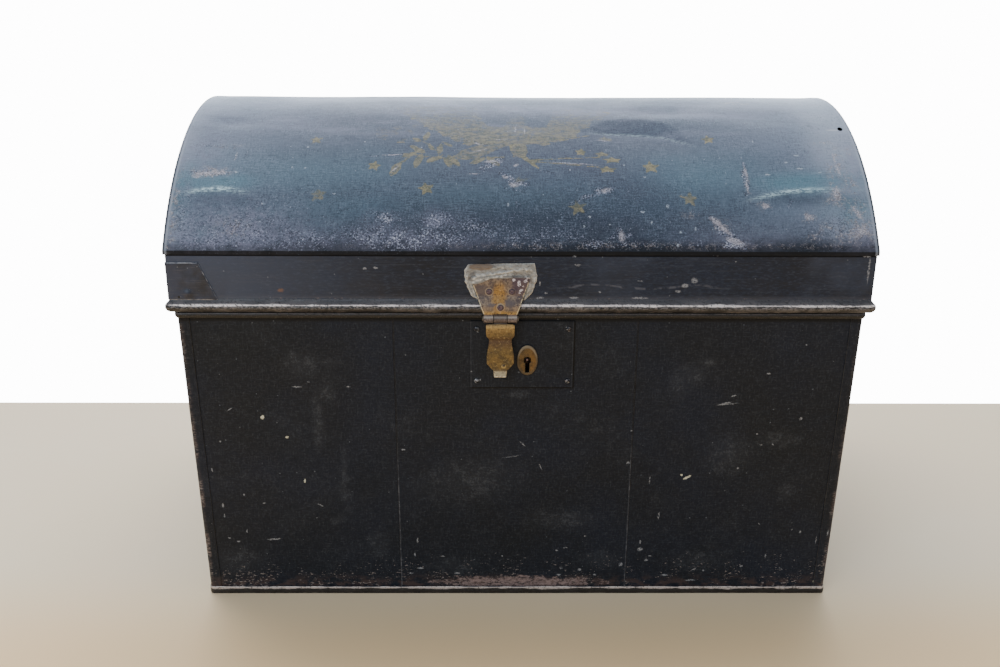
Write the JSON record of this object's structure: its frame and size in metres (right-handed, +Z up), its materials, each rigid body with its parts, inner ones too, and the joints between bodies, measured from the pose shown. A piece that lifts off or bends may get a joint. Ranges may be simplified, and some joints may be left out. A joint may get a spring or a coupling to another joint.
{
  "type": "dome top trunk",
  "caption": "Painted tinplate trunk with a domed hinged lid, a hasp lock and drop handles.",
  "frame": {"origin": "on the floor, under the middle of the trunk", "axes": "+X along the trunk to the right, +Y to the back with the hinges, +Z up; the hasp is on the -Y side"},
  "size_m": [0.7084, 0.4756, 0.512],
  "materials": {
    "body_paint": "worn matt black paint on tinplate",
    "dome_paint": "worn blue-black japanned paint with faded gilt decoration",
    "worn_edge_paint": "paint rubbed to brown and bare metal on the edges",
    "brass": "tarnished brass",
    "solder": "dull grey solder",
    "bare_steel": "dull steel"
  },
  "bodies": {
    "trunk_body": {"front_left_plate": "body_paint", "front_centre_plate": "body_paint", "front_right_plate": "body_paint", "back_left_plate": "body_paint", "back_centre_plate": "body_paint", "back_right_plate": "body_paint", "left_end_plate": "body_paint", "right_end_plate": "body_paint", "left_bottom_plate": "body_paint", "right_bottom_plate": "body_paint", "foot_rim": "worn_edge_paint", "stop_bead": "worn_edge_paint", "lock_plate": "body_paint", "keyhole_escutcheon": "brass", "lock_case": "bare_steel", "bolt_spring": "bare_steel", "key_post": "bare_steel", "lock_plate_rivet_1": "body_paint", "lock_plate_rivet_2": "body_paint", "lock_plate_rivet_3": "body_paint", "lock_plate_rivet_4": "body_paint", "left_hinge_body_leaf": "bare_steel", "right_hinge_body_leaf": "bare_steel", "left_hinge_pin": "bare_steel", "right_hinge_pin": "bare_steel", "left_hinge_body_rivet_1": "bare_steel", "left_hinge_body_rivet_2": "bare_steel", "right_hinge_body_rivet_1": "bare_steel", "right_hinge_body_rivet_2": "bare_steel", "left_handle_plate": "bare_steel", "right_handle_plate": "bare_steel"},
    "lid": {"dome_sheet": "dome_paint", "left_lid_end": "body_paint", "right_lid_end": "body_paint", "lid_front_band": "body_paint", "lid_back_band": "body_paint", "front_rim_bead": "worn_edge_paint", "back_rim_bead": "worn_edge_paint", "left_rim_bead": "worn_edge_paint", "right_rim_bead": "worn_edge_paint", "corner_repair_patch": "body_paint", "hasp_solder_patch": "solder", "hasp_upper_leaf": "brass", "hasp_pin": "bare_steel", "hasp_rivet_1": "bare_steel", "hasp_rivet_2": "bare_steel", "hasp_rivet_3": "bare_steel", "left_hinge_lid_leaf": "bare_steel", "right_hinge_lid_leaf": "bare_steel", "left_hinge_lid_rivet_1": "bare_steel", "left_hinge_lid_rivet_2": "bare_steel", "right_hinge_lid_rivet_1": "bare_steel", "right_hinge_lid_rivet_2": "bare_steel"},
    "hasp": {"hasp_lower_leaf": "brass", "hasp_staple": "bare_steel"},
    "bolt": {"lock_bolt": "brass"},
    "left_handle": {"left_handle_bail": "bare_steel"},
    "right_handle": {"right_handle_bail": "bare_steel"}
  },
  "joints": [
    {"name": "lid_hinge", "type": "hinge", "parent": "trunk_body", "child": "lid", "pos_m": [0, 0.2335, 0.32605], "axis": [-1, 0, 0], "range_deg": [0, 105]},
    {"name": "hasp_hinge", "type": "hinge", "parent": "lid", "child": "hasp", "pos_m": [-0.0207, -0.2335, 0.32605], "axis": [-1, 0, 0], "range_deg": [-8, 130]},
    {"name": "lock_bolt_slide", "type": "slide", "parent": "trunk_body", "child": "bolt", "axis": [-1, 0, 0], "range_m": [0, 0.009]},
    {"name": "left_handle_hinge", "type": "hinge", "parent": "trunk_body", "child": "left_handle", "pos_m": [-0.34889, 0, 0.23187], "axis": [0, 1, 0], "range_deg": [0, 175]},
    {"name": "right_handle_hinge", "type": "hinge", "parent": "trunk_body", "child": "right_handle", "pos_m": [0.34889, 0, 0.23187], "axis": [0, -1, 0], "range_deg": [0, 175]}
  ]
}
